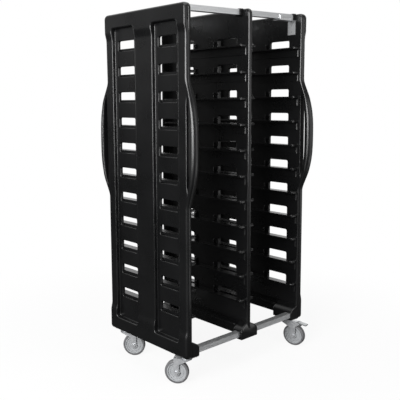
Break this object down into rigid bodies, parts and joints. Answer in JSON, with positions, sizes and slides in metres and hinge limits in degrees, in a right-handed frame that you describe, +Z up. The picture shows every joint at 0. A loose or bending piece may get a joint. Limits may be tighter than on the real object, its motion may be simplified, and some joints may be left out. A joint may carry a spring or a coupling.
{
  "type": "tray return trolley",
  "caption": "Tall two-bay tray return trolley: black moulded panels with ledges and grips, joined by aluminium bars, on swivel casters, some with brakes.",
  "frame": {"origin": "on the floor under the middle of the trolley", "axes": "+X across the width to the right, +Y to the rear, +Z up"},
  "size_m": [0.8981, 0.69, 1.76],
  "materials": {
    "black_plastic": "satin moulded",
    "aluminium": "extruded, satin",
    "zinc_steel": "zinc plated",
    "wheel_plastic": "moulded",
    "tyre_rubber": "matte"
  },
  "bodies": {
    "frame": {"left_panel": "black_plastic", "middle_panel": "black_plastic", "right_panel": "black_plastic", "left_runners": "black_plastic", "middle_runners": "black_plastic", "right_runners": "black_plastic", "left_front_grip": "black_plastic", "left_rear_grip": "black_plastic", "right_front_grip": "black_plastic", "right_rear_grip": "black_plastic", "left_front_foot": "black_plastic", "left_rear_foot": "black_plastic", "middle_front_foot": "black_plastic", "middle_rear_foot": "black_plastic", "right_front_foot": "black_plastic", "right_rear_foot": "black_plastic", "left_front_top_bar": "aluminium", "left_front_low_bar": "aluminium", "left_rear_top_bar": "aluminium", "left_rear_low_bar": "aluminium", "right_front_top_bar": "aluminium", "right_front_low_bar": "aluminium", "right_rear_top_bar": "aluminium", "right_rear_low_bar": "aluminium", "top_bar_sockets": "black_plastic", "corner_bracket": "aluminium", "bracket_screws": "zinc_steel", "caster_bolts": "zinc_steel", "front_left_plate": "zinc_steel", "front_right_plate": "zinc_steel", "rear_left_plate": "zinc_steel", "rear_right_plate": "zinc_steel"},
    "front_left_swivel": {"front_left_fork": "zinc_steel", "front_left_race": "zinc_steel", "front_left_axle": "zinc_steel"},
    "front_left_roller": {"front_left_tyre": "tyre_rubber", "front_left_wheel": "wheel_plastic", "front_left_bearings": "zinc_steel"},
    "front_right_swivel": {"front_right_fork": "zinc_steel", "front_right_race": "zinc_steel", "front_right_axle": "zinc_steel", "front_right_pedal_pin": "zinc_steel"},
    "front_right_roller": {"front_right_tyre": "tyre_rubber", "front_right_wheel": "wheel_plastic", "front_right_bearings": "zinc_steel"},
    "front_right_brake": {"front_right_pedal": "zinc_steel"},
    "rear_left_swivel": {"rear_left_fork": "zinc_steel", "rear_left_race": "zinc_steel", "rear_left_axle": "zinc_steel"},
    "rear_left_roller": {"rear_left_tyre": "tyre_rubber", "rear_left_wheel": "wheel_plastic", "rear_left_bearings": "zinc_steel"},
    "rear_right_swivel": {"rear_right_fork": "zinc_steel", "rear_right_race": "zinc_steel", "rear_right_axle": "zinc_steel", "rear_right_pedal_pin": "zinc_steel"},
    "rear_right_roller": {"rear_right_tyre": "tyre_rubber", "rear_right_wheel": "wheel_plastic", "rear_right_bearings": "zinc_steel"},
    "rear_right_brake": {"rear_right_pedal": "zinc_steel"}
  },
  "joints": [
    {"name": "front_left_swivel_turn", "type": "hinge", "parent": "frame", "child": "front_left_swivel", "pos_m": [-0.38, -0.228, 0.135], "axis": [0, 0, 1], "continuous": true},
    {"name": "front_left_wheel_roll", "type": "hinge", "parent": "front_left_swivel", "child": "front_left_roller", "pos_m": [-0.40581, -0.19114, 0.0575], "axis": [-0.8192, -0.5736, 0], "continuous": true},
    {"name": "front_right_swivel_turn", "type": "hinge", "parent": "frame", "child": "front_right_swivel", "pos_m": [0.38, -0.228, 0.135], "axis": [0, 0, 1], "continuous": true},
    {"name": "front_right_wheel_roll", "type": "hinge", "parent": "front_right_swivel", "child": "front_right_roller", "pos_m": [0.39012, -0.27185, 0.0575], "axis": [0.9744, 0.225, 0], "continuous": true},
    {"name": "front_right_pedal_press", "type": "hinge", "parent": "front_right_swivel", "child": "front_right_brake", "pos_m": [0.39575, -0.29621, 0.124], "axis": [0.9744, 0.225, 0], "range_deg": [0, 27]},
    {"name": "rear_left_swivel_turn", "type": "hinge", "parent": "frame", "child": "rear_left_swivel", "pos_m": [-0.38, 0.228, 0.135], "axis": [0, 0, 1], "continuous": true},
    {"name": "rear_left_wheel_roll", "type": "hinge", "parent": "rear_left_swivel", "child": "rear_left_roller", "pos_m": [-0.35108, 0.19353, 0.0575], "axis": [0.766, 0.6428, 0], "continuous": true},
    {"name": "rear_right_swivel_turn", "type": "hinge", "parent": "frame", "child": "rear_right_swivel", "pos_m": [0.38, 0.228, 0.135], "axis": [0, 0, 1], "continuous": true},
    {"name": "rear_right_wheel_roll", "type": "hinge", "parent": "rear_right_swivel", "child": "rear_right_roller", "pos_m": [0.40182, 0.18864, 0.0575], "axis": [0.8746, 0.4848, 0], "continuous": true},
    {"name": "rear_right_pedal_press", "type": "hinge", "parent": "rear_right_swivel", "child": "rear_right_brake", "pos_m": [0.41394, 0.16678, 0.124], "axis": [0.8746, 0.4848, 0], "range_deg": [0, 27]}
  ]
}
